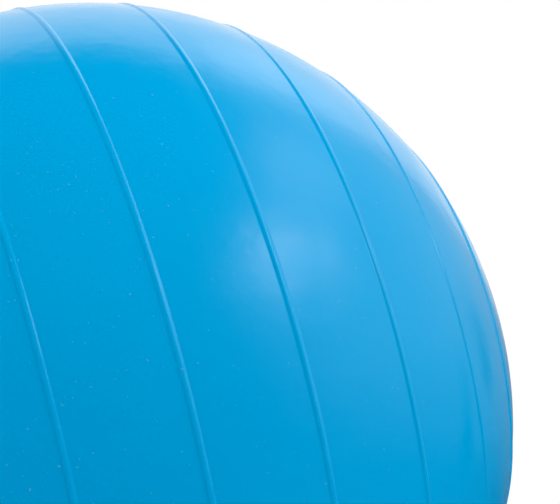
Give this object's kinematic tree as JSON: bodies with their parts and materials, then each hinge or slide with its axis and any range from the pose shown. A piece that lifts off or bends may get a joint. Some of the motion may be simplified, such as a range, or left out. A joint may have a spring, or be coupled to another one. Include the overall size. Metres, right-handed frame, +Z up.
{
  "type": "exercise ball",
  "caption": "Large inflated exercise ball with raised rings moulded round it, a recessed filling seat at one pole and a push-in plug that pulls out.",
  "frame": {"origin": "on the floor, at the middle of the flat patch that the ball stands on, straight under the middle of the ball", "axes": "+Z up; X along the level axis of the rings, with the filling valve at the -X pole; Y across, in the plane of the middle ring"},
  "size_m": [0.6496, 0.6519, 0.6487],
  "materials": {
    "skin_pvc": "glossy blue soft PVC, faintly mottled and dusty",
    "seat_pvc": "satin blue PVC, stiffer than the skin",
    "plug_plastic": "satin off-white moulded plastic"
  },
  "bodies": {
    "ball": {"ball_shell": "skin_pvc", "valve_seat": "seat_pvc"},
    "plug": {"valve_plug": "plug_plastic"}
  },
  "joints": [
    {"name": "plug_pull", "type": "slide", "parent": "ball", "child": "plug", "axis": [-1, 0, 0], "range_m": [0, 0.026]}
  ]
}
